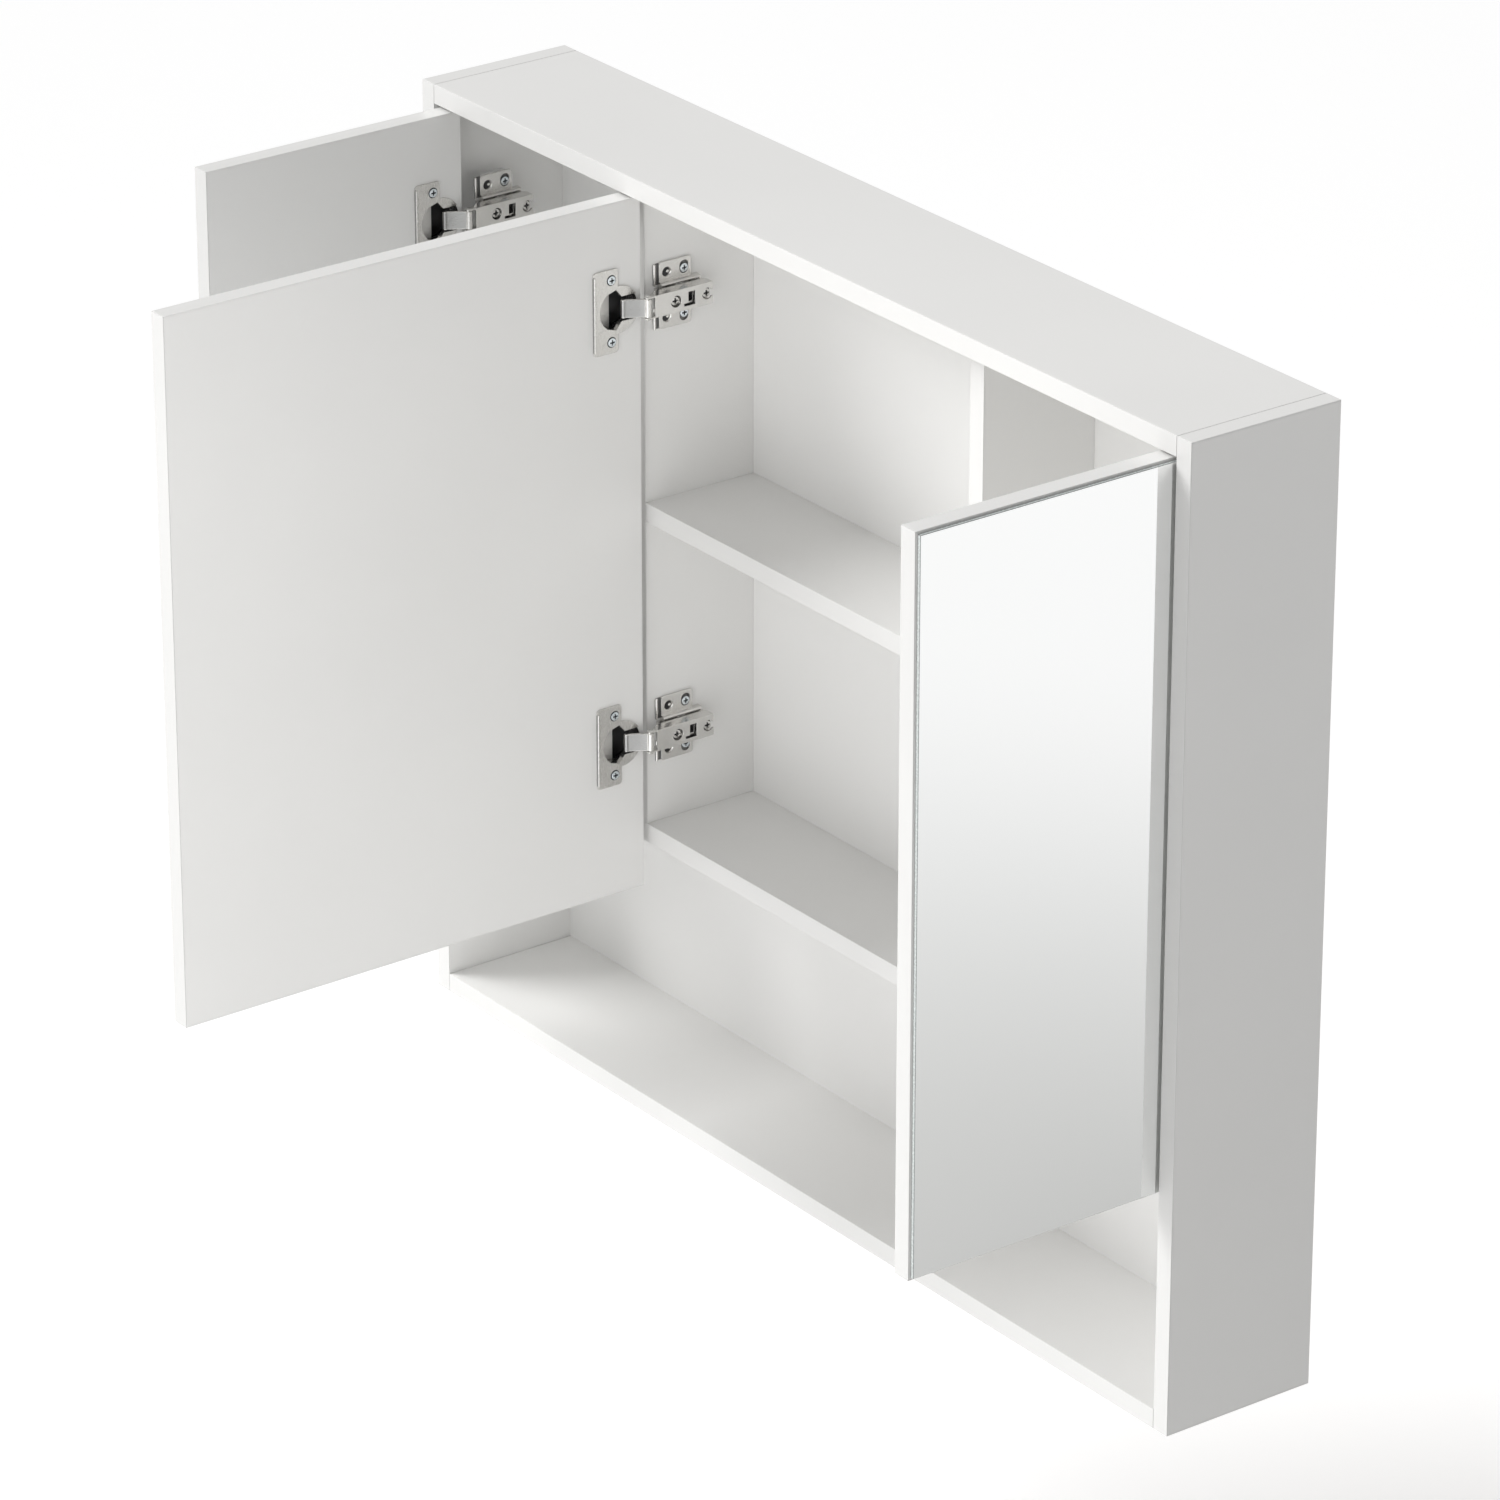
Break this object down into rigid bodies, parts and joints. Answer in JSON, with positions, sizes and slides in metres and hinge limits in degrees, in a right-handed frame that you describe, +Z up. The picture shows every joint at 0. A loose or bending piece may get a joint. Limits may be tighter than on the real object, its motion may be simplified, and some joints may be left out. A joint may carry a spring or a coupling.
{
  "type": "mirror cabinet",
  "caption": "Wide white wall cabinet with mirror doors on cup hinges, standing open, over an open niche; shelves and dividers inside.",
  "frame": {"origin": "midway between the two wall screw holes, on the wall plane", "axes": "+X to the viewer's right when facing the cabinet, +Y into the wall, +Z up; the mirrors face -Y when closed"},
  "size_m": [0.9, 0.528, 0.75],
  "materials": {
    "white_board": "satin white melamine",
    "back_board": "matt white lacquered fibreboard",
    "mirror": "silvered float glass",
    "nickel": "satin nickel",
    "zinc": "bright blue zinc",
    "birch": "bare timber",
    "soft_pad": "clear soft plastic",
    "packer": "matt"
  },
  "bodies": {
    "root": {"left_side_panel": "white_board", "right_side_panel": "white_board", "top_panel": "white_board", "bottom_panel": "white_board", "back_panel": "back_board", "hanging_rail": "birch", "niche_roof": "white_board", "left_divider": "white_board", "right_divider": "white_board", "left_shelf": "white_board", "middle_shelf": "white_board", "right_shelf": "white_board", "cam_locks": "nickel", "cam_bolts": "zinc", "dowels": "birch", "shelf_pins": "zinc", "door_bumpers": "soft_pad", "left_link_pins": "zinc", "middle_link_pins": "zinc", "right_link_pins": "zinc", "left_hinge_arms": "nickel", "middle_hinge_arms": "nickel", "right_hinge_arms": "nickel", "left_arm_screws": "zinc", "middle_arm_screws": "zinc", "right_arm_screws": "zinc", "left_mounting_plates": "nickel", "middle_mounting_plates": "nickel", "right_mounting_plates": "nickel", "left_plate_screws": "zinc", "middle_plate_screws": "zinc", "right_plate_screws": "zinc", "left_hinge_packers": "packer", "right_hinge_packers": "packer"},
    "left_door": {"left_door_panel": "white_board", "left_mirror": "mirror", "left_hinge_cups": "nickel", "left_cup_screws": "zinc"},
    "left_links": {"left_hinge_links": "nickel"},
    "middle_door": {"middle_door_panel": "white_board", "middle_mirror": "mirror", "middle_hinge_cups": "nickel", "middle_cup_screws": "zinc"},
    "middle_links": {"middle_hinge_links": "nickel"},
    "right_door": {"right_door_panel": "white_board", "right_mirror": "mirror", "right_hinge_cups": "nickel", "right_cup_screws": "zinc"},
    "right_links": {"right_hinge_links": "nickel"}
  },
  "joints": [
    {"name": "left_door_swing", "type": "hinge", "parent": "root", "child": "left_door", "pos_m": [-0.426, -0.126, -0.2], "axis": [0, 0, 1], "range_deg": [0, 90]},
    {"name": "left_link_swing", "type": "hinge", "parent": "root", "child": "left_links", "pos_m": [-0.404, -0.121, -0.2], "axis": [0, 0, 1], "range_deg": [-62, 0]},
    {"name": "middle_door_swing", "type": "hinge", "parent": "root", "child": "middle_door", "pos_m": [-0.198, -0.126, -0.2], "axis": [0, 0, 1], "range_deg": [0, 90]},
    {"name": "middle_link_swing", "type": "hinge", "parent": "root", "child": "middle_links", "pos_m": [-0.176, -0.121, -0.2], "axis": [0, 0, 1], "range_deg": [-62, 0]},
    {"name": "right_door_swing", "type": "hinge", "parent": "root", "child": "right_door", "pos_m": [0.426, -0.126, -0.2], "axis": [0, 0, -1], "range_deg": [0, 90]},
    {"name": "right_link_swing", "type": "hinge", "parent": "root", "child": "right_links", "pos_m": [0.404, -0.121, -0.2], "axis": [0, 0, -1], "range_deg": [-62, 0]}
  ],
  "couplings": [
    {"joint": "left_link_swing", "follows": "left_door_swing", "ratio": -0.68},
    {"joint": "middle_link_swing", "follows": "middle_door_swing", "ratio": -0.68},
    {"joint": "right_link_swing", "follows": "right_door_swing", "ratio": -0.68}
  ]
}
